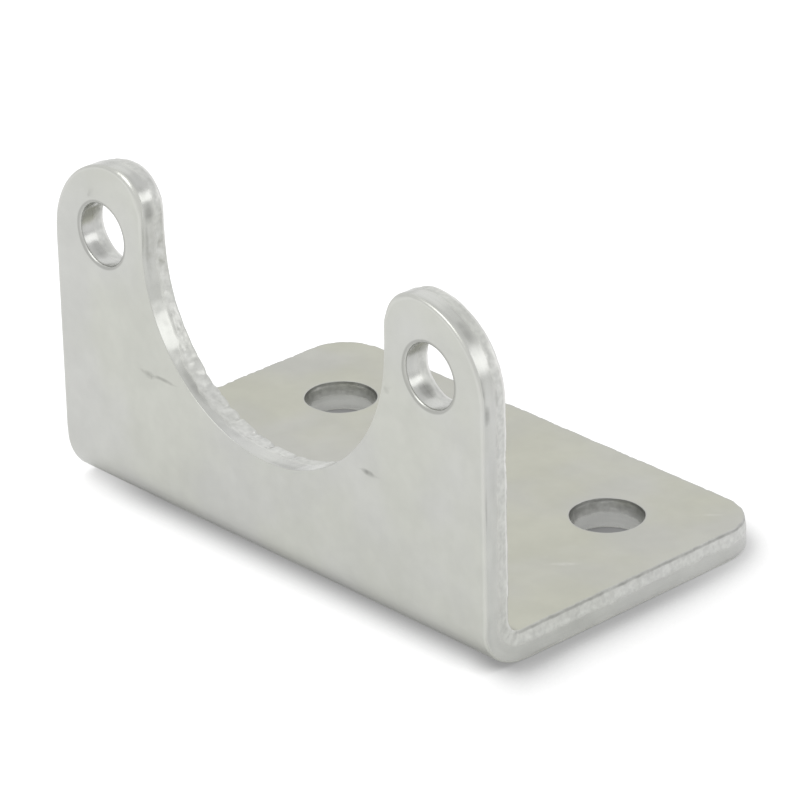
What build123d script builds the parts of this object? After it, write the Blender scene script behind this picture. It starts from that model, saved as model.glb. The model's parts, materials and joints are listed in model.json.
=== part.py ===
from build123d import *
import os

# L-shaped mounting bracket, punched and folded from one piece of steel sheet.
# All sizes are in millimetres. The origin is on the underside of the base, midway
# between the sides and midway between the upright's outer face and the back edge.
# +X runs along the fold, +Y from the upright to the back edge, +Z up.

# Sheet and fold
width = 60.0
depth = 38.0
height = 36.0
sheet = 3.2
bend_inner_radius = 1.6

# Ears at the top of the upright, with a round-bottomed cut between them
ear_width = 13.0
ear_inner_radius = 4.0
ear_crown_flat = 0.2
cut_straight_depth = 7.0

# Pivot holes, one in each ear, set in a little from the middle of its width
pivot_hole_diameter = 6.4
pivot_hole_set_in = 0.5
pivot_hole_from_top = 7.5

# Screw holes and free corners of the base
screw_hole_diameter = 7.0
screw_hole_from_side = 11.0
screw_hole_from_back = 11.0
base_corner_radius = 5.0

# Punched edges: the outline and the pivot holes are rolled over on the sheet's outer
# side. On the inner side every edge has broken away from the die at a slight taper
roll_radius = 0.3
break_out_inset = 0.2
break_out_depth = 1.3

# Sizes that follow from those above
front = -depth / 2
back = depth / 2
bend_outer_radius = bend_inner_radius + sheet
ear_outer_radius = ear_width - ear_inner_radius - ear_crown_flat
cut_radius = width / 2 - ear_width
cut_centre_height = height - cut_straight_depth
pivot_hole_height = height - pivot_hole_from_top
pivot_hole_spacing = width - ear_width - 2 * pivot_hole_set_in
screw_hole_y = back - screw_hole_from_back
screw_hole_spacing = width - 2 * screw_hole_from_side

outer_plane = Plane.XZ.offset(-front)
top_plane = Plane.XY.offset(sheet)


def leg_face(direction, side):
    """One leg's outer (0) or inner (1) flat face; the direction is square to the leg."""
    return bracket.faces().filter_by(direction).sort_by(direction)[side]


def outline(face):
    """The outer edges of a leg's face, apart from the line where the fold begins."""
    fold_line = face.edges().filter_by(Axis.X).sort_by(SortBy.LENGTH)[-1]
    return face.outer_wire().edges() - [fold_line]


def hole_rims(face):
    """The edges of the holes in a leg's face."""
    return face.inner_wires().edges()


def break_out(direction, rims):
    """Taper the wall below a leg's inner rims, where the sheet has broken away."""
    inner = leg_face(direction, 1)
    chamfer(rims(inner), length=break_out_inset, length2=break_out_depth, reference=inner)


def roll_over(direction, rims):
    """Round a leg's outer rims, where the punch has drawn the sheet in."""
    fillet(rims(leg_face(direction, 0)), radius=roll_radius)


with BuildPart() as bracket:
    # Folded sheet: its section along the fold, with the bend's outer and inner radius
    with BuildSketch(Plane.YZ):
        with Locations((front, 0)):
            Rectangle(depth, sheet, align=(Align.MIN, Align.MIN))
            Rectangle(sheet, height, align=(Align.MIN, Align.MIN))
        fillet(vertices().sort_by_distance((front, 0))[0], radius=bend_outer_radius)
        fillet(vertices().sort_by_distance((front + sheet, sheet))[0], radius=bend_inner_radius)
    extrude(amount=width / 2, both=True)

    # Round-bottomed cut down the middle of the upright
    with BuildSketch(outer_plane):
        with Locations((0, cut_centre_height)):
            Circle(cut_radius)
            Rectangle(2 * cut_radius, cut_straight_depth, align=(Align.CENTER, Align.MIN))
    extrude(amount=-sheet, mode=Mode.SUBTRACT)

    # Ears: a small corner beside the cut, and a wide sweep down to the side
    ear_corners = bracket.edges().filter_by(Axis.Y).group_by(Axis.Z)[-1].sort_by(Axis.X)
    fillet(ear_corners[1:3], radius=ear_inner_radius)
    ear_sides = bracket.edges().filter_by(Axis.Y).group_by(Axis.Z)[-1].sort_by(Axis.X)
    fillet([ear_sides[0], ear_sides[-1]], radius=ear_outer_radius)

    # Free corners of the base
    base_corners = bracket.edges().filter_by(Axis.Z).group_by(Axis.Y)[-1]
    fillet(base_corners, radius=base_corner_radius)

    # The outline's edges, which run on round the fold from the upright to the base
    break_out(Axis.Y, outline)
    roll_over(Axis.Y, outline)

    # Pivot holes
    with Locations(outer_plane):
        with Locations((0, pivot_hole_height)):
            with GridLocations(pivot_hole_spacing, 0, 2, 1):
                Hole(pivot_hole_diameter / 2, depth=sheet)
    break_out(Axis.Y, hole_rims)
    roll_over(Axis.Y, hole_rims)

    # Screw holes
    with Locations(top_plane):
        with Locations((0, screw_hole_y)):
            with GridLocations(screw_hole_spacing, 0, 2, 1):
                Hole(screw_hole_diameter / 2, depth=sheet)
    break_out(Axis.Z, hole_rims)

bracket.part.label = "bracket"
os.makedirs("parts", exist_ok=True)
export_step(bracket.part, "parts/bracket.step")
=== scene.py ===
import json
import math

import bpy
from mathutils import Matrix, Vector, kdtree, noise
from mathutils.geometry import delaunay_2d_cdt


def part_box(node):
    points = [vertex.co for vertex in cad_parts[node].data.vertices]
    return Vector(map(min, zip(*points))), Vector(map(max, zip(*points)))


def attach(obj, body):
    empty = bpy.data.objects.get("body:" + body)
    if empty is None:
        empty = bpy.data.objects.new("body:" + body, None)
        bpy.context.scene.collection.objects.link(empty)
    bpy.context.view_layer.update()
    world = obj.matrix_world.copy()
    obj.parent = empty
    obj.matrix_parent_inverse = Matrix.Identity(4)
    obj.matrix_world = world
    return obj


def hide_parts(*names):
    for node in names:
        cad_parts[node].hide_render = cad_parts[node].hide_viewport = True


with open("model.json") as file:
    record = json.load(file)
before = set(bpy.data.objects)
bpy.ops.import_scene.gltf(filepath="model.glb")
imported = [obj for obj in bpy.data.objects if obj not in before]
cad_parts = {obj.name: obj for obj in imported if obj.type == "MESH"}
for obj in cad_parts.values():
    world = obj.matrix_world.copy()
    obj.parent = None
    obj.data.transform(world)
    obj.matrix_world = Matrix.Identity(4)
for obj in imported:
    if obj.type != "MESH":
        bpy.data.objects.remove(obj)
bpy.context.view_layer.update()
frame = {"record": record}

# Sizes are in metres. The overall box and the holes come from the frame, and the
# rest of the sheet's sizes are the ones that the part is built to.
MM = 0.001
box_low, box_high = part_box("bracket")
width, depth, height = box_high - box_low
front = box_low.y

sheet = 3.2 * MM
bend_inner_radius = 1.6 * MM
ear_width = 13.0 * MM
ear_inner_radius = 4.0 * MM
ear_crown_flat = 0.2 * MM
cut_straight_depth = 7.0 * MM
base_corner_radius = 5.0 * MM

# Sizes that follow. Places across the flat sheet count from where the bend starts.
bend_outer_radius = bend_inner_radius + sheet
bend_length = math.pi / 2 * (bend_inner_radius + sheet / 2)
ear_top = bend_outer_radius - height
base_end = bend_length + depth - bend_outer_radius
ear_outer_radius = ear_width - ear_inner_radius - ear_crown_flat
cut_radius = width / 2 - ear_width
cut_centre = ear_top + cut_straight_depth

# Punched edges. The outer side is rolled over, most at tight outward corners and least
# at inward curves. Then comes a burnished band. The rest of the wall has broken away
# unevenly, down to a narrow crease and a slightly rounded rim on the inner side.
# Dirt and painted shade are a share of dark grey in the zinc. Below zero the share is of
# bright zinc, for rubbed marks and painted highlights.
# Each noise is the size of its features and a seed.

# Roll. A curve is one over a radius in millimetres, above zero where the sheet bulges
# outward. It is averaged over a reach to either side, and only holes curve in so tightly.
curve_reach = 1.0 * MM
hole_curve = -0.15
roll_straight = 0.24 * MM
roll_outward_gain = 4.5
roll_inward_loss = 3.0
roll_least = 0.06 * MM
hole_roll = 0.3 * MM
roll_unevenness = 0.16
roll_depth_noise = (3.0 * MM, 1)
roll_width_noise = (2.0 * MM, 2)
# Painted highlight along the roll of the upright's outline, outside the cut
roll_highlight = -0.15
# Painted shade on the pivot holes' roll, darkest by the flat face
pivot_roll_shade = 0.5
pivot_roll_sweep = 1.3

# Burnished band, darker where it starts, with streaks along it and dents in the cut. Painted
# shade darkens it in the base's holes.
burnish_start_darkening = 0.5
burnish_start_noise = (5.0 * MM, 9)
# Painted shade on the burnished walls of the base's holes
hole_burnish_shade = 0.06
wall_wave = 0.03 * MM
wall_wave_middle = 0.5
wall_wave_noise = (1.6 * MM, 7)
cut_wave = 0.05 * MM
cut_wave_noise = (1.1 * MM, 18)
streak_length = 4.0 * MM
streak_stretch = 10.0
streak_dirt = 0.12

# Line where the metal broke. It wanders, least in holes, and lies nearer to the outer
# side where the cut's wall is torn.
break_out_depth = 1.3 * MM
break_line = sheet - break_out_depth
break_line_wave = 0.24 * MM
break_line_noise = (1.4 * MM, 3)
break_line_fine = 0.4
break_line_fine_noise = (0.5 * MM, 4)
hole_line_share = 0.4
torn_x = -9.5 * MM
torn_s = cut_centre + math.sqrt(cut_radius ** 2 - torn_x ** 2)
torn_spread = 8.0 * MM
torn_depth = 0.85 * MM
torn_unevenness = 0.5
torn_noise = (1.2 * MM, 17)

# Fracture, rough and blotched. It starts with a step and tapers towards the inner rim,
# and in holes it flares instead.
break_margin = 0.05 * MM
break_step = 0.02 * MM
break_taper = 0.75
hole_flare = 2.2
break_roughness = 0.07 * MM
cut_roughness = 0.12 * MM
hole_roughness_share = 0.5
rough_middle = 0.4
rough_least = -0.3
rough_noise = (1.1 * MM, 0)
rough_fine = 0.4
rough_fine_noise = (0.4 * MM, 0)
break_blotch = 0.1
cut_blotch = 0.35
# Painted sheen: lightens the whole fracture in the cut
cut_painted_sheen = 0.4
blotch_noise = (0.9 * MM, 16)
# Painted shade on the broken walls of the base's holes
hole_break_shade = 0.12

# Crease, sunk in on the base only. Its painted shade on the base and painted highlight on
# the upright also reach the fracture's last ring.
upright_crease_width = 0.2 * MM
base_crease_width = 0.24 * MM
crease_inset = 0.8
crease_depth = 0.035 * MM
crease_unevenness = 0.8
crease_noise = (0.8 * MM, 11)
upright_crease_broken = 0.3
upright_crease_highlight = -0.7
base_crease_shade = 0.45
crease_light_unevenness = 0.6
crease_light_noise = (1.6 * MM, 12)
upright_crease_reach = 0.4
base_crease_reach = 0.7

# Inner rim, ragged with small nicks. The cut is ragged only low down: there the nicks
# fade out between two distances from the middle.
break_out_inset = 0.2 * MM
break_out_unevenness = 0.4
break_out_noise = (2.2 * MM, 5)
cut_break_out = 0.45
rim_inset_least = 0.03 * MM
upright_raggedness = 0.1 * MM
base_raggedness = 0.22 * MM
cut_raggedness = 0.6 * MM
cut_ragged_to = (10.5 * MM, 13.5 * MM)
hole_raggedness = 0.05 * MM
ragged_least = 0.7
ragged_noise = (8.0 * MM, 8)
nick_noise = (0.8 * MM, 6)
nick_fine = 0.4
nick_fine_noise = (0.35 * MM, 10)
upright_rim_round = 0.15 * MM
base_rim_round = 0.04 * MM
rim_broken = 0.5
# Painted highlight along the upright's inner rim and painted shade along the base's
upright_rim_highlight = -0.7
base_rim_shade = 0.25
rim_light_unevenness = 0.6
rim_light_noise = (1.1 * MM, 15)

# Sides, drawn in at the bend and for a share of its length beyond it
bend_draw_in = 0.22 * MM
bend_draw_reach = 0.35
side_margin = 1.0 * MM

# Mesh steps, and the number of rings in each band of a punched edge
edge_step = 0.15 * MM
face_step = 0.9 * MM
face_margin = 0.4 * MM
shoulder = 0.16 * MM
roll_count = 6
burnish_count = 6
break_count = 10
rim_count = 3
bend_rows = 26
mark_step = 0.12 * MM
weld_distance = 1e-9
sharp_angle = 38

# Marks on the two faces, placed one by one. Each is a run of points with its half width and
# how deep it is cut into the sheet, all in millimetres, and how much it darkens the
# zinc. A mark below zero is brighter. It tapers to a thin tip at both ends.
mark_tip = 0.02
mark_least = 0.8
mark_unevenness = 0.4
mark_noise = (0.5 * MM, 13)

# Upright's outer face: places are x across and z up.
upright_marks = [
    ([(-18.1, 15.8), (-17.3, 15.7), (-16.4, 15.6)], 0.3, 0.01, 0.25),
    ([(-17.5, 15.65), (-15.8, 15.6)], 0.5, 0.03, 0.45),
    ([(-16.3, 15.6), (-15.4, 15.75), (-14.5, 15.75), (-12.9, 15.65)], 0.25, 0.02, 0.45),
    ([(13.5, 15.9), (14.4, 15.8), (15.5, 15.75)], 0.36, 0.03, 0.55),
    ([(17.0, 25.0), (17.5, 25.6)], 0.5, 0.0, 0.2),
    ([(-24.8, 32.1), (-24.5, 32.4)], 0.2, 0.0, 0.25),
]
# Base's top face: places are x across and y back.
base_marks = [
    ([(22.2, -3.15), (24.3, -1.1)], 0.4, 0.02, -0.2),
    ([(25.4, 14.3), (27.1, 16.0)], 0.2, 0.0, -0.2),
]

# Soft grey stains on the upright's punched walls, and painted shade on the walls of its pivot
# holes, also placed one by one: x across, z up and the depth from the outer side, then how far
# each spreads along the wall and into it, all in millimetres, and how dark it is.
stain_unevenness = 0.5
stain_noise = (0.5 * MM, 14)
wall_stains_and_hole_shade = [
    ((-17.0, 32.3, 1.15), 1.3, 0.65, 0.5),
    ((-17.0, 28.0, 0.8), 3.4, 0.22, 0.3),
    ((-17.7, 34.3, 1.0), 0.9, 0.4, 0.2),
    ((26.9, 33.9, 1.0), 1.4, 0.6, 0.25),
    ((-10.9, 16.0, 0.8), 2.6, 0.6, 0.25),
    ((3.0, 12.0, 0.4), 5.0, 0.4, 0.2),
    ((30.0, 26.7, 0.6), 1.2, 0.35, 0.45),
    ((30.0, 29.3, 0.35), 1.2, 0.25, 0.25),
    ((30.0, 28.2, 1.85), 1.3, 0.25, 0.25),
    ((30.0, 23.4, 1.85), 2.6, 0.25, 0.15),
    # Painted shade: these two darken the walls of the pivot holes
    ((-24.9, 25.9, 1.2), 1.3, 0.8, 0.3),
    ((21.0, 26.0, 1.6), 1.2, 0.9, 0.55),
]


# Flat pattern. The flat sheet has x along the fold and s across it. The bend starts at
# s = 0, the upright lies below that and the base above bend_length. w is the depth into
# the sheet from its outer side.

def fold(x, s, w):
    """Place of a point of the flat sheet once the sheet is folded."""
    if s < 0:
        return Vector((x, front + w, bend_outer_radius - s))
    if s > bend_length:
        return Vector((x, front + bend_outer_radius + s - bend_length, w))
    turn = math.pi / 2 * s / bend_length
    radius = bend_outer_radius - w
    y = front + bend_outer_radius - radius * math.cos(turn)
    return Vector((x, y, bend_outer_radius - radius * math.sin(turn)))


def line(start, end):
    """Points along a straight edge with the sheet on its left.

    Each point has its place, the direction into the sheet and the edge's curve.
    """
    run = Vector(end) - Vector(start)
    count = max(1, round(run.length / edge_step))
    inward = Vector((-run.y, run.x)).normalized()
    return [(Vector(start) + run * i / count, inward, 0.0) for i in range(count)]


def arc(centre, radius, first, last):
    """Points as in line(), along a round edge between two angles in degrees."""
    sweep = math.radians(last - first)
    count = max(1, round(abs(sweep) * radius / edge_step))
    side = -1 if sweep > 0 else 1
    points = []
    for i in range(count):
        angle = math.radians(first) + sweep * i / count
        outward = Vector((math.cos(angle), math.sin(angle)))
        points.append((Vector(centre) + outward * radius, outward * side, -side * MM / radius))
    return points


def outer_edge():
    """The sheet's outline: two ears with a round cut between them, and the base's corners."""
    side = width / 2
    inner = side - ear_width
    crown = inner + ear_inner_radius
    corner = side - ear_outer_radius
    ear_low = ear_top + ear_outer_radius
    base_corner = base_end - base_corner_radius
    points = arc((-corner, ear_low), ear_outer_radius, 180, 270)
    points += line((-corner, ear_top), (-crown, ear_top))
    points += arc((-crown, ear_top + ear_inner_radius), ear_inner_radius, 270, 360)
    points += line((-inner, ear_top + ear_inner_radius), (-inner, cut_centre))
    points += arc((0, cut_centre), cut_radius, 180, 0)
    points += line((inner, cut_centre), (inner, ear_top + ear_inner_radius))
    points += arc((crown, ear_top + ear_inner_radius), ear_inner_radius, 180, 270)
    points += line((crown, ear_top), (corner, ear_top))
    points += arc((corner, ear_low), ear_outer_radius, 270, 360)
    points += line((side, ear_low), (side, base_corner))
    points += arc((side - base_corner_radius, base_corner), base_corner_radius, 0, 90)
    points += line((side - base_corner_radius, base_end), (base_corner_radius - side, base_end))
    points += arc((base_corner_radius - side, base_corner), base_corner_radius, 90, 180)
    points += line((-side, base_corner), (-side, ear_low))
    return points


def hole_edges():
    """The round edges of the holes that the record's bolt patterns state."""
    edges = []
    for mount in frame["record"]["mounts"]:
        if mount["kind"] != "bolt_pattern":
            continue
        radius = mount["dims"]["hole_r_mm"] * MM
        half_spacing = mount["dims"]["spacing_x_mm"] * MM / 2
        x, y, z = mount["pos_m"]
        in_base = abs(mount["axis"][2]) > 0.5
        s = bend_length + y - front - bend_outer_radius if in_base else bend_outer_radius - z
        for side in (-1, 1):
            edges.append(arc((x + side * half_spacing, s), radius, 360, 0))
    return edges


# Noise and blends

def wobble(point, size, seed):
    """Smooth noise from about -1 to 1 over the flat sheet."""
    return noise.noise(Vector((point[0] / size, point[1] / size, seed)))


def grain(place, size, seed):
    """Smooth noise from about -1 to 1 that also changes with the depth into the sheet."""
    return noise.noise(place / size + Vector((0, 0, seed)))


def uneven(point, amount, size_and_seed):
    """A factor that wanders by an amount to either side of 1 over the flat sheet."""
    return 1 + amount * wobble(point, *size_and_seed)


def share_between(value, low, high):
    """How far a value has come from low to high, kept within 0 and 1."""
    return min(max((value - low) / (high - low), 0.0), 1.0)


def blend(share, first, second):
    """A number that goes evenly from the first to the second."""
    return first + (second - first) * share


# Punched walls. Each band is a list of rings, and each ring has its inset, its depth, how
# burnished and broken away it is, and its dirt and painted light.

def edge_kind(point, curve):
    """Whether a point of an edge is in a hole, and how far it is in the cut and on the base."""
    in_hole = curve < hole_curve
    on_base = share_between(point[1], 0.0, bend_length)
    in_cut = 0.0 if in_hole else share_between(curve, 0.0, -MM / cut_radius) * (1 - on_base)
    return in_hole, in_cut, on_base


def roll_size(curve):
    """How far the outer side is rolled over where the outline has a given curve."""
    if curve > 0:
        return roll_straight + roll_outward_gain * curve ** 2 * MM
    return max(roll_straight + roll_inward_loss * curve * MM, roll_least)


def burnish_end_at(point, in_hole):
    """Depth at which the burnished band ends and the fracture starts."""
    wave = break_line_wave * (hole_line_share if in_hole else 1.0)
    end = break_line + wave * wobble(point, *break_line_noise)
    end += break_line_fine * wave * wobble(point, *break_line_fine_noise)
    torn = math.hypot(point[0] - torn_x, point[1] - torn_s) / torn_spread
    return end - torn_depth * max(0.0, 1 - torn ** 2) * uneven(point, torn_unevenness, torn_noise)


def rim_inset_at(point, in_hole, in_cut, on_base):
    """How far the inner rim stands back from the edge, nicks included."""
    low_in_cut = in_cut * (1 - share_between(abs(point[0]), *cut_ragged_to))
    ragged = blend(low_in_cut, upright_raggedness, cut_raggedness)
    ragged = hole_raggedness if in_hole else blend(on_base, ragged, base_raggedness)
    ragged *= ragged_least + max(0.0, wobble(point, *ragged_noise))
    nick = wobble(point, *nick_noise) + nick_fine * wobble(point, *nick_fine_noise)
    inset = break_out_inset * uneven(point, break_out_unevenness, break_out_noise)
    inset *= blend(in_cut, 1.0, cut_break_out)
    return max(inset + ragged * max(0.0, nick), rim_inset_least)


def roll_band(roll_width, roll_depth, in_hole, in_cut, on_base):
    """The outer side's rim, rolled over from the flat face to the wall."""
    # Painted highlight on the upright's roll, outside the cut; painted shade on the pivot holes'
    # roll
    dirt_and_painted_light = roll_highlight * (1 - in_cut) * (1 - on_base)
    pivot_shade = pivot_roll_shade * (1 - on_base) if in_hole else 0.0
    rings = [(roll_width + shoulder, 0.0, 0.0, 0.0, 0.0)]
    for i in range(roll_count):
        turn = math.pi / 2 * i / roll_count
        inset = roll_width * (1 - math.sin(turn))
        w = roll_depth * (1 - math.cos(turn))
        rings.append((inset, w, 0.0, 0.0, dirt_and_painted_light + pivot_shade * math.cos(turn * pivot_roll_sweep)))
    return rings


def burnished_band(point, start, end, in_hole, in_cut, on_base):
    """The band that the punch has sheared smooth, between two depths."""
    # Darker where the band starts, and painted shade on the walls of the base's holes
    start_darkening = burnish_start_darkening * max(0.0, wobble(point, *burnish_start_noise)) * (1 - in_cut)
    hole_wall_shade = hole_burnish_shade * on_base if in_hole else 0.0
    rings = []
    for i in range(burnish_count):
        share = i / burnish_count
        w = blend(share, start, end)
        wave = wall_wave * (wall_wave_middle + wobble(point, *wall_wave_noise))
        wave += cut_wave * in_cut * grain(Vector((point[0], point[1], w)), *cut_wave_noise)
        streak = noise.noise(Vector((point[0], point[1], w * streak_stretch)) / streak_length)
        dirt_and_painted_light = streak_dirt * streak * (1 - in_cut) + hole_wall_shade
        if i == 0 and not in_hole:
            dirt_and_painted_light += start_darkening
        rings.append((max(wave * math.sin(math.pi * share), 0.0), w, 1.0, 0.0, dirt_and_painted_light))
    return rings


def broken_band(point, start, end, rim_inset, crease_painted_light, in_hole, in_cut, on_base):
    """The fracture between two depths, which comes near to the inner rim's inset."""
    rough_depth = blend(in_cut, break_roughness, cut_roughness)
    rough_depth *= hole_roughness_share if in_hole else 1.0
    flare = hole_flare if in_hole else 1.0
    # Painted shade on the walls of the base's holes
    hole_wall_shade = hole_break_shade * on_base if in_hole else 0.0
    # The crease's painted shade on the base and painted highlight on the upright reach the last ring
    last_crease_light = blend(on_base, upright_crease_reach, base_crease_reach) * crease_painted_light
    rings = []
    for i in range(break_count):
        share = i / (break_count - 1)
        w = blend(share, start, end)
        place = Vector((point[0], point[1], w))
        slope = break_step + (rim_inset - break_step) * break_taper * share ** flare
        rough = rough_middle + grain(place, *rough_noise)
        rough += rough_fine * grain(place, *rough_fine_noise)
        rough = rough_depth * max(rough_least, rough) * math.sqrt(math.sin(math.pi * share))
        # Random blotches; in the cut a painted sheen lightens them all
        blotch = grain(place, *blotch_noise) - cut_painted_sheen * in_cut
        dirt_and_painted_light = blend(in_cut, break_blotch, cut_blotch) * blotch + hole_wall_shade
        if i == break_count - 1:
            dirt_and_painted_light += last_crease_light
        rings.append((max(slope + rough, 0.0), w, 0.0, 1.0, dirt_and_painted_light))
    return rings


def crease_ring(point, rim_inset, w, crease_painted_light, in_cut, on_base):
    """The narrow crease between the fracture and the inner rim."""
    sunk = crease_depth * uneven(point, crease_unevenness, crease_noise) * on_base
    broken = blend(on_base, blend(in_cut, upright_crease_broken, 1.0), 1.0)
    return (crease_inset * rim_inset + sunk, w, 0.0, broken, crease_painted_light)


def rim_band(point, rim_inset, rim_round, in_cut, on_base):
    """The inner side's rim, rounded from the crease to the flat face."""
    # Painted highlight on the upright's rim, painted shade on the base's, none in the cut
    dirt_and_painted_light = blend(on_base, upright_rim_highlight, base_rim_shade) * (1 - in_cut)
    dirt_and_painted_light *= uneven(point, rim_light_unevenness, rim_light_noise)
    rings = []
    for i in range(rim_count + 1):
        turn = math.pi / 2 * i / rim_count
        inset = rim_inset + rim_round * (1 - math.cos(turn))
        w = sheet - rim_round * (1 - math.sin(turn))
        rings.append((inset, w, 0.0, rim_broken if i < rim_count else 0.0, dirt_and_painted_light))
    rings.append((rim_inset + rim_round + shoulder, sheet, 0.0, 0.0, 0.0))
    return rings


def edge_profile(point, curve):
    """The punched wall at one point of an edge, ring by ring from the outer side."""
    in_hole, in_cut, on_base = edge_kind(point, curve)
    kind = (in_hole, in_cut, on_base)
    roll = hole_roll if in_hole else roll_size(curve)
    roll_width = roll * uneven(point, roll_unevenness, roll_width_noise)
    roll_depth = roll * uneven(point, roll_unevenness, roll_depth_noise)
    burnish_end = burnish_end_at(point, in_hole)
    rim_inset = rim_inset_at(point, *kind)
    rim_round = blend(on_base, upright_rim_round, base_rim_round)
    crease_width = blend(on_base, upright_crease_width, base_crease_width)
    # Painted highlight in the upright's crease, painted shade in the base's, none in the cut
    crease_painted_light = blend(on_base, upright_crease_highlight, base_crease_shade) * (1 - in_cut)
    crease_painted_light *= uneven(point, crease_light_unevenness, crease_light_noise)
    break_start = burnish_end + break_margin
    break_end = sheet - rim_round - crease_width
    crease_middle = break_end + crease_width / 2

    rings = roll_band(roll_width, roll_depth, *kind)
    rings += burnished_band(point, roll_depth, burnish_end, *kind)
    rings += broken_band(point, break_start, break_end, rim_inset, crease_painted_light, *kind)
    rings.append(crease_ring(point, rim_inset, crease_middle, crease_painted_light, in_cut, on_base))
    rings += rim_band(point, rim_inset, rim_round, in_cut, on_base)
    return rings


def stain_and_hole_shade(point, w):
    """How dark the stains and the pivot holes' painted shade are at one point of an edge and depth.
    """
    dark = 0.0
    for (x, z, deep), spread, reach, strength in wall_stains_and_hole_shade:
        along = math.hypot(point[0] - x * MM, point[1] - bend_outer_radius + z * MM) / (spread * MM)
        off = math.hypot(along, (w - deep * MM) / (reach * MM))
        dark += strength * max(0.0, 1 - off ** 2) * uneven(point, stain_unevenness, stain_noise)
    return dark


def draw_in(s, w):
    """How far the sheet's side is drawn in at the bend, where its outer side is stretched."""
    reach = bend_length * bend_draw_reach
    if s < -reach or s > bend_length + reach:
        return 0.0
    share = (s + reach) / (bend_length + 2 * reach)
    return bend_draw_in * math.sin(math.pi * share) ** 2 * (1 - w / sheet)


def edge_rings(edge):
    """Flat places of every ring along one edge, with their finishes."""
    reach = round(curve_reach / edge_step)
    columns = []
    for i, (point, inward, curve) in enumerate(edge):
        near = [edge[(i + step) % len(edge)][2] for step in range(-reach, reach + 1)]
        on_side = abs(abs(point.x) - width / 2) < side_margin
        column = []
        for inset, w, burnish, broken, dirt_and_painted_light in edge_profile(point, sum(near) / len(near)):
            place = point + inward * inset
            if on_side:
                place = place + inward * draw_in(point.y, w)
            column.append((place.x, place.y, w, burnish, broken, dirt_and_painted_light + stain_and_hole_shade(point, w)))
        columns.append(column)
    return columns


# Faces

def flat_marks(w):
    """The marks on one side of the sheet, with their runs of points on the flat pattern."""
    if w == 0.0:
        return [([(x * MM, bend_outer_radius - z * MM) for x, z in path], *rest)
                for path, *rest in upright_marks]
    start = bend_length - front - bend_outer_radius
    return [([(x * MM, y * MM + start) for x, y in path], *rest) for path, *rest in base_marks]


def mark_points(marks):
    """Close-set points over each mark: flat place, depth and darkness."""
    points = []
    for path, half_width, deep, darkness in marks:
        corners = [Vector(place) for place in path]
        total = sum((b - a).length for a, b in zip(corners, corners[1:]))
        across = math.ceil(half_width * MM / mark_step) + 1
        done = 0.0
        for start, end in zip(corners, corners[1:]):
            run = end - start
            count = max(1, round(run.length / mark_step))
            side = Vector((-run.y, run.x)).normalized()
            for i in range(count):
                share = (done + run.length * i / count) / total
                share = min(max(share, mark_tip), 1 - mark_tip)
                taper = math.sqrt(math.sin(math.pi * share))
                for k in range(-across, across + 1):
                    place = start + run * i / count + side * (k * mark_step)
                    off = abs(k) * mark_step / (half_width * MM * taper)
                    strength = max(0.0, 1 - off ** 2) * taper
                    strength *= mark_least + mark_unevenness * wobble(place, *mark_noise)
                    points.append((place.x, place.y, deep * MM * strength, darkness * strength))
            done += run.length
    return points


def search_tree(places):
    """A tree that finds the nearest of some flat places."""
    tree = kdtree.KDTree(len(places))
    for i, place in enumerate(places):
        tree.insert((place[0], place[1], 0), i)
    tree.balance()
    return tree


def face_points(rim, w):
    """Points that fill a face inside its rims: rows across the bend, a grid on the two legs."""
    points = mark_points(flat_marks(w))
    rim_tree, mark_tree = search_tree(rim), search_tree(points)
    upright_rows = int(-ear_top / face_step)
    base_rows = int((base_end - bend_length) / face_step)
    rows = [bend_length * i / bend_rows for i in range(bend_rows + 1)]
    rows += [ear_top * i / upright_rows for i in range(1, upright_rows)]
    rows += [bend_length + (base_end - bend_length) * i / base_rows for i in range(1, base_rows)]
    count = int(width / face_step)
    for s in rows:
        for i in range(1, count):
            x = -width / 2 + width * i / count
            gap = min(tree.find((x, s, 0))[2] for tree in (rim_tree, mark_tree))
            if gap > face_margin:
                points.append((x, s, 0.0, 0.0))
    return points


# Folded sheet

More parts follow.
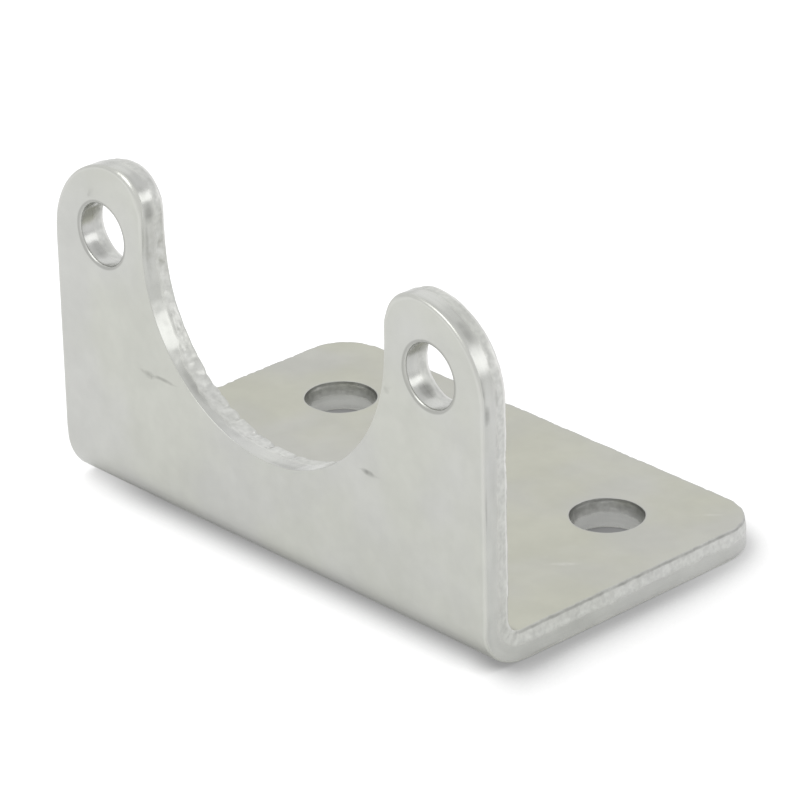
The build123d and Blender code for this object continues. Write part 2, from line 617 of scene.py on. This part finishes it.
class FoldedSheet:
    """The sheet's mesh: its punched edges ring by ring, then both faces filled to their rims."""

    def __init__(self):
        self.places, self.faces, self.loops = [], [], []
        self.finishes = {"burnish": [], "broken": [], "mark_and_painted_light": [], "inner": []}

    def add(self, x, s, w, burnish=0.0, broken=0.0, mark_and_painted_light=0.0, inner=0.0):
        """Add a point of the flat sheet, folded, and give its number."""
        self.places.append(fold(x, s, w))
        for values, value in zip(self.finishes.values(), (burnish, broken, mark_and_painted_light, inner)):
            values.append(value)
        return len(self.places) - 1

    def add_wall(self, edge):
        """Add the punched wall along one edge. Its last ring lies on the inner face."""
        columns = edge_rings(edge)
        last = len(columns[0]) - 1
        numbers = []
        for column in columns:
            numbers.append([self.add(*ring, inner=float(k == last))
                            for k, ring in enumerate(column)])
        for here, after in zip(numbers, numbers[1:] + numbers[:1]):
            for k in range(last):
                self.faces.append((here[k], after[k], after[k + 1], here[k + 1]))
        self.loops.append((columns, numbers))

    def fill_face(self, inner):
        """Fill the outer or the inner face between the first or the last rings of the walls."""
        ring, w, into = (-1, sheet, -1) if inner else (0, 0.0, 1)
        rim, rim_numbers, borders = [], [], []
        for columns, numbers in self.loops:
            border = list(range(len(rim), len(rim) + len(columns)))
            borders.append(border[::-1] if borders else border)
            rim += [column[ring][:2] for column in columns]
            rim_numbers += [column[ring] for column in numbers]
        inside = face_points(rim, w)
        flat = [Vector(place[:2]) for place in rim + inside]
        corners, _, triangles, sources, _, owners = delaunay_2d_cdt(
            flat, [], borders, 1, weld_distance, True)
        number_of = []
        for i in range(len(corners)):
            source = sources[i][0]
            if source < len(rim):
                number_of.append(rim_numbers[source])
            else:
                x, s, deep, mark_and_painted_light = inside[source - len(rim)]
                number_of.append(self.add(x, s, w + into * deep, mark_and_painted_light=mark_and_painted_light, inner=float(inner)))
        for triangle, owner in zip(triangles, owners):
            if list(owner) == [0]:  # within the outline and in none of the holes
                turned = triangle if inner else reversed(triangle)
                self.faces.append(tuple(number_of[i] for i in turned))

    def mesh(self, name):
        """The mesh, with the finishes as attributes that its material reads."""
        mesh = bpy.data.meshes.new(name)
        mesh.from_pydata(self.places, [], self.faces)
        for label, values in self.finishes.items():
            mesh.attributes.new(label, "FLOAT", "POINT").data.foreach_set("value", values)
        mesh.shade_smooth()
        mesh.set_sharp_from_angle(angle=math.radians(sharp_angle))
        mesh.validate()
        return mesh


def sheet_mesh(name):
    """The whole bracket, punched, folded and marked."""
    folded = FoldedSheet()
    for edge in [outer_edge()] + hole_edges():
        folded.add_wall(edge)
    folded.fill_face(inner=False)
    folded.fill_face(inner=True)
    return folded.mesh(name)


# Materials

class Nodes:
    """Short calls that add and join shader nodes in one material or world."""

    def __init__(self, tree):
        self.tree = tree
        tree.nodes.clear()

    def add(self, kind, settings=None, **inputs):
        """Add a node. Its inputs are called by name, with _ for each space."""
        node = self.tree.nodes.new(kind)
        for key, value in (settings or {}).items():
            setattr(node, key, value)
        for key, value in inputs.items():
            self.set(node, key.replace("_", " "), value)
        return node

    def set(self, node, key, value):
        """Join a socket to an input, called by name or number, or put a plain value on it."""
        socket = node.inputs[int(key)] if key.isdigit() else node.inputs[key]
        if isinstance(value, bpy.types.NodeSocket):
            self.tree.links.new(value, socket)
        else:
            socket.default_value = value

    def noise(self, vector, size, detail=2.0):
        """Noise with features of a real size in metres."""
        node = self.add("ShaderNodeTexNoise", Vector=vector, Scale=1 / size, Detail=detail)
        return node.outputs["Fac"]

    def ramp(self, value, low, high, to_low=0.0, to_high=1.0):
        """A value's smooth way from to_low, where it is low, to to_high, where it is high."""
        node = self.add("ShaderNodeMapRange", {"interpolation_type": "SMOOTHSTEP"}, Value=value)
        self.set(node, "From Min", low)
        self.set(node, "From Max", high)
        self.set(node, "To Min", to_low)
        self.set(node, "To Max", to_high)
        return node.outputs["Result"]

    def math(self, operation, first, second):
        node = self.add("ShaderNodeMath", {"operation": operation})
        self.set(node, "0", first)
        self.set(node, "1", second)
        return node.outputs[0]

    def mix(self, share, first, second):
        """A colour that goes evenly from the first to the second."""
        node = self.add("ShaderNodeMix", {"data_type": "RGBA"})
        self.set(node, "0", share)
        self.set(node, "6", first)
        self.set(node, "7", second)
        return node.outputs[2]

    def blend(self, share, first, second):
        """A number that goes evenly from the first to the second."""
        return self.math("ADD", first, self.math("MULTIPLY", share, second - first))

    def attribute(self, name):
        return self.add("ShaderNodeAttribute", {"attribute_name": name}).outputs["Fac"]


def rgb(red, green, blue):
    return (red, green, blue, 1.0)


zinc_outer = rgb(0.572, 0.578, 0.544)
# The inner side's zinc is warmer, and darker as painted shade
zinc_inner_warm_shaded = rgb(0.475, 0.476, 0.424)
zinc_wall = rgb(0.55, 0.555, 0.533)
zinc_broken = rgb(0.60, 0.605, 0.58)
# Dark grey for marks, stains, streaks and painted shade; bright zinc for rubbed marks and painted
# highlights
dark_mark_and_shade = rgb(0.10, 0.10, 0.09)
bright_mark_and_highlight = rgb(0.80, 0.80, 0.78)
white = rgb(1.0, 1.0, 1.0)

# Grain of the zinc: the sizes of its noises, and ramps with the noise's low and high
# value and then what they give in tone, saturation or roughness.
cloud_size = 5.0 * MM
cloud_detail = 3.0
mottle_size = 1.5 * MM
tint_size = 11.0 * MM
chip_size = 0.5 * MM
cloud_tone = (0.3, 0.7, 0.975, 1.02)
mottle_tone = (0.3, 0.7, -0.015, 0.015)
chip_tone = (0.3, 0.7, -0.08, 0.06)
tint_saturation = (0.35, 0.65, 0.7, 1.3)
cloud_roughness = (0.25, 0.75, 0.33, 0.295)
mottle_roughness = (0.3, 0.7, -0.01, 0.01)
burnish_smoother = 0.08
broken_rougher = 0.08
bump_strength = 0.08
bump_height = 0.05 * MM


def zinc_colour(nodes, burnish, broken, clouds, mottle, tint, chips):
    """Zinc by its side and wall, the inner side with painted shade, with its tone and warmth
    wandering, and then the marks, painted shade and painted highlights.
    """
    colour = nodes.mix(nodes.attribute("inner"), zinc_outer, zinc_inner_warm_shaded)
    colour = nodes.mix(nodes.math("MAXIMUM", burnish, broken), colour, zinc_wall)
    colour = nodes.mix(broken, colour, zinc_broken)
    tone = nodes.math("ADD", nodes.ramp(clouds, *cloud_tone), nodes.ramp(mottle, *mottle_tone))
    chipped = nodes.math("MULTIPLY", broken, nodes.ramp(chips, *chip_tone))
    tone = nodes.math("ADD", tone, chipped)
    warmth = nodes.ramp(tint, *tint_saturation)
    shaded = nodes.add("ShaderNodeHueSaturation", Color=colour, Value=tone, Saturation=warmth)
    mark_and_painted_light = nodes.attribute("mark_and_painted_light")
    rubbed_and_highlight = nodes.math("MULTIPLY", mark_and_painted_light, -1.0)
    colour = nodes.mix(nodes.math("MAXIMUM", mark_and_painted_light, 0.0), shaded.outputs["Color"], dark_mark_and_shade)
    return nodes.mix(nodes.math("MAXIMUM", rubbed_and_highlight, 0.0), colour, bright_mark_and_highlight)


def zinc_roughness(nodes, burnish, broken, clouds, mottle):
    """Satin, smoother on burnished walls and rougher where the metal broke."""
    rough = nodes.ramp(clouds, *cloud_roughness)
    rough = nodes.math("ADD", rough, nodes.ramp(mottle, *mottle_roughness))
    rough = nodes.math("SUBTRACT", rough, nodes.math("MULTIPLY", burnish, burnish_smoother))
    return nodes.math("ADD", rough, nodes.math("MULTIPLY", broken, broken_rougher))


def zinc_plated_steel():
    """Bright zinc on rolled sheet."""
    material = bpy.data.materials.new("zinc_plated_steel")
    material.use_nodes = True
    nodes = Nodes(material.node_tree)
    place = nodes.add("ShaderNodeTexCoord").outputs["Object"]
    burnish = nodes.attribute("burnish")
    broken = nodes.attribute("broken")
    clouds = nodes.noise(place, cloud_size, cloud_detail)
    mottle = nodes.noise(place, mottle_size)
    tint = nodes.noise(place, tint_size)
    chips = nodes.noise(place, chip_size)

    bump = nodes.add("ShaderNodeBump", Strength=bump_strength, Distance=bump_height, Height=mottle)
    shader = nodes.add("ShaderNodeBsdfPrincipled", Metallic=1.0, Normal=bump.outputs["Normal"])
    nodes.set(shader, "Base Color", zinc_colour(nodes, burnish, broken, clouds, mottle, tint, chips))
    nodes.set(shader, "Roughness", zinc_roughness(nodes, burnish, broken, clouds, mottle))
    nodes.add("ShaderNodeOutputMaterial", Surface=shader.outputs["BSDF"])
    return material


# Studio: a white sweep, a pale surround and three soft lamps

# The floor is plain white, and part of its white is its own glow, so that it stays even.
# What the bracket mirrors has less of that glow. It lies just under the bracket, whose
# underside would otherwise flicker in it, and is clear from below.
floor_size = 6.0
floor_gap = 0.03 * MM
floor_white = 0.8
floor_seen = 0.65
floor_lift_mirrored = 0.2

# Contact shadow: the floor's tone falls where the bracket closes it off from the sky.
# Before the upright it does so within a short reach, and beside and behind the base
# within a longer one. Each of the two has its reach, the openness at which it is darkest
# and at which it is white, and the tone there. Neither gets darker than contact_darkest.
contact_samples = 16
contact_front = (5.0 * MM, -0.06, 0.82, 0.385)
contact_side = (9.0 * MM, 0.48, 1.12, 0.23)
contact_darkest = 0.385

# The side tone takes over between two places behind the front and, round the right front
# corner, between two sums of the place across and the place back.
contact_behind = (front + 2 * MM, front + 8 * MM)
contact_corner = (7.5 * MM, 17 * MM)

# The shadow's strength falls towards the left end and towards the back. The floor that
# the bracket covers is darker still. Each is the two places, and the strength at each.
contact_left_fade = (-width / 2, 11 * MM - width / 2, 0.4, 1.0)
contact_back_fade = (0.0, 34 * MM, 1.0, 0.25)
contact_under_x = (width / 2 - 4 * MM, width / 2 - 2 * MM, 1.0, 0.0)
contact_under_y = (depth / 2 - 5 * MM, depth / 2 - 3.6 * MM, 1.0, 0.0)
contact_under = 0.5

# The least tone that the bracket is lit by and mirrors
contact_unseen_front = 0.65
contact_unseen_side = 0.9

# Brightness of the surround, apart from the plain white that the camera sees
surround = 0.9


def contact_tone(nodes, reach, low, high, dark):
    """Tone of the floor by how open it is to the sky within a reach."""
    settings = {"samples": contact_samples}
    openness = nodes.add("ShaderNodeAmbientOcclusion", settings, Distance=reach).outputs["AO"]
    return nodes.ramp(openness, low, high, dark, 1.0)


def floor_tone(nodes, seen):
    """Tone of the floor with its contact shadow, softer where the camera doesn't see it."""
    place = nodes.add("ShaderNodeTexCoord").outputs["Object"]
    place = nodes.add("ShaderNodeSeparateXYZ", Vector=place).outputs
    corner = nodes.ramp(nodes.math("ADD", place["X"], place["Y"]), *contact_corner)
    side = nodes.math("MAXIMUM", corner, nodes.ramp(place["Y"], *contact_behind))
    under_x = nodes.ramp(nodes.math("ABSOLUTE", place["X"], 0.0), *contact_under_x)
    under_y = nodes.ramp(nodes.math("ABSOLUTE", place["Y"], 0.0), *contact_under_y)
    under = nodes.math("MULTIPLY", under_x, under_y)

    before = contact_tone(nodes, *contact_front)
    beside = contact_tone(nodes, *contact_side)
    change = nodes.math("MULTIPLY", side, nodes.math("SUBTRACT", beside, before))
    tone = nodes.math("MAXIMUM", nodes.math("ADD", before, change), contact_darkest)

    strength = nodes.math("MULTIPLY", nodes.ramp(place["X"], *contact_left_fade),
                          nodes.ramp(place["Y"], *contact_back_fade))
    shadow = nodes.math("MULTIPLY", strength, nodes.math("SUBTRACT", 1.0, tone))
    tone = nodes.math("SUBTRACT", 1.0, shadow)
    tone = nodes.math("MULTIPLY", tone, nodes.blend(under, 1.0, contact_under))
    least = nodes.blend(side, contact_unseen_front, contact_unseen_side)
    least = nodes.math("MULTIPLY", nodes.math("SUBTRACT", 1.0, seen), least)
    return nodes.math("MAXIMUM", tone, least)


def floor_material():
    """White sweep with a contact shadow, clear from below."""
    material = bpy.data.materials.new("white_sweep")
    material.use_nodes = True
    nodes = Nodes(material.node_tree)
    path = nodes.add("ShaderNodeLightPath").outputs
    seen = path["Is Camera Ray"]
    mirrored = nodes.math("MAXIMUM", path["Is Glossy Ray"], path["Is Transmission Ray"])
    tone = floor_tone(nodes, seen)

    paint = nodes.blend(seen, floor_white, floor_white * floor_seen)
    diffuse = nodes.add("ShaderNodeBsdfDiffuse", Color=nodes.math("MULTIPLY", tone, paint))
    lift = nodes.math("ADD", nodes.math("MULTIPLY", seen, floor_seen),
                      nodes.math("MULTIPLY", mirrored, floor_lift_mirrored))
    glow = nodes.add("ShaderNodeEmission", Color=white, Strength=nodes.math("MULTIPLY", tone, lift))
    both = nodes.add("ShaderNodeAddShader")
    nodes.set(both, "0", diffuse.outputs["BSDF"])
    nodes.set(both, "1", glow.outputs["Emission"])

    surface = nodes.add("ShaderNodeMixShader")
    nodes.set(surface, "0", nodes.add("ShaderNodeNewGeometry").outputs["Backfacing"])
    nodes.set(surface, "1", both.outputs["Shader"])
    nodes.set(surface, "2", nodes.add("ShaderNodeBsdfTransparent").outputs["BSDF"])
    nodes.add("ShaderNodeOutputMaterial", Surface=surface.outputs["Shader"])
    return material


def make_floor():
    half = floor_size / 2
    mesh = bpy.data.meshes.new("floor")
    corners = [(-half, -half, 0), (half, -half, 0), (half, half, 0), (-half, half, 0)]
    mesh.from_pydata(corners, [], [(0, 1, 2, 3)])
    mesh.materials.append(floor_material())
    floor = bpy.data.objects.new("floor", mesh)
    floor.location.z = box_low.z - floor_gap
    bpy.context.scene.collection.objects.link(floor)


def make_world():
    world = bpy.data.worlds.new("studio")
    world.use_nodes = True
    nodes = Nodes(world.node_tree)
    seen = nodes.add("ShaderNodeLightPath").outputs["Is Camera Ray"]
    strength = nodes.blend(seen, surround, 1.0)
    background = nodes.add("ShaderNodeBackground", Color=white, Strength=strength)
    nodes.add("ShaderNodeOutputWorld", Surface=background.outputs["Background"])
    bpy.context.scene.world = world


def facing(azimuth, elevation):
    """The turn that looks back from a direction. Azimuth 0 is in front, 90 on the right."""
    turn = Matrix.Rotation(math.radians(azimuth), 4, "Z")
    tilt = Matrix.Rotation(math.radians(90 - elevation), 4, "X")
    return turn @ tilt


def softbox(name, azimuth, elevation, distance, size, radiance):
    """A square soft lamp that faces the bracket."""
    lamp = bpy.data.lights.new(name, "AREA")
    lamp.size = size
    lamp.energy = radiance * math.pi * size ** 2
    box = bpy.data.objects.new(name, lamp)
    box.matrix_world = facing(azimuth, elevation) @ Matrix.Translation((0, 0, distance))
    bpy.context.scene.collection.objects.link(box)


def make_lamps():
    softbox("right_back", azimuth=130, elevation=23, distance=1.2, size=0.45, radiance=0.95)
    softbox("left_back", azimuth=219, elevation=36, distance=1.2, size=0.7, radiance=0.22)
    softbox("overhead", azimuth=0, elevation=62, distance=1.2, size=0.8, radiance=1.5)


# Camera at the photograph's viewpoint. Angles are in degrees, the lens and the sensor in
# millimetres.
camera_azimuth = 47.28
camera_elevation = 25.61
camera_roll = -1.33
camera_lens = 226.5
camera_sensor = 36.0
camera_clip_start = 0.01
camera_place = Vector((324.6, -301.1, 224.2)) * MM


def make_camera():
    data = bpy.data.cameras.new("camera")
    data.lens = camera_lens
    data.sensor_width = camera_sensor
    data.clip_start = camera_clip_start
    camera = bpy.data.objects.new("camera", data)
    roll = Matrix.Rotation(math.radians(camera_roll), 4, "Z")
    view = facing(camera_azimuth, camera_elevation) @ roll
    camera.matrix_world = Matrix.Translation(camera_place) @ view
    bpy.context.scene.collection.objects.link(camera)
    bpy.context.scene.camera = camera


make_camera()
make_world()
make_lamps()
make_floor()

bracket = bpy.data.objects.new("folded_sheet", sheet_mesh("folded_sheet"))
bpy.context.scene.collection.objects.link(bracket)
bracket.data.materials.append(zinc_plated_steel())
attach(bracket, "root")
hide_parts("bracket")

bpy.context.scene.view_settings.view_transform = "Standard"
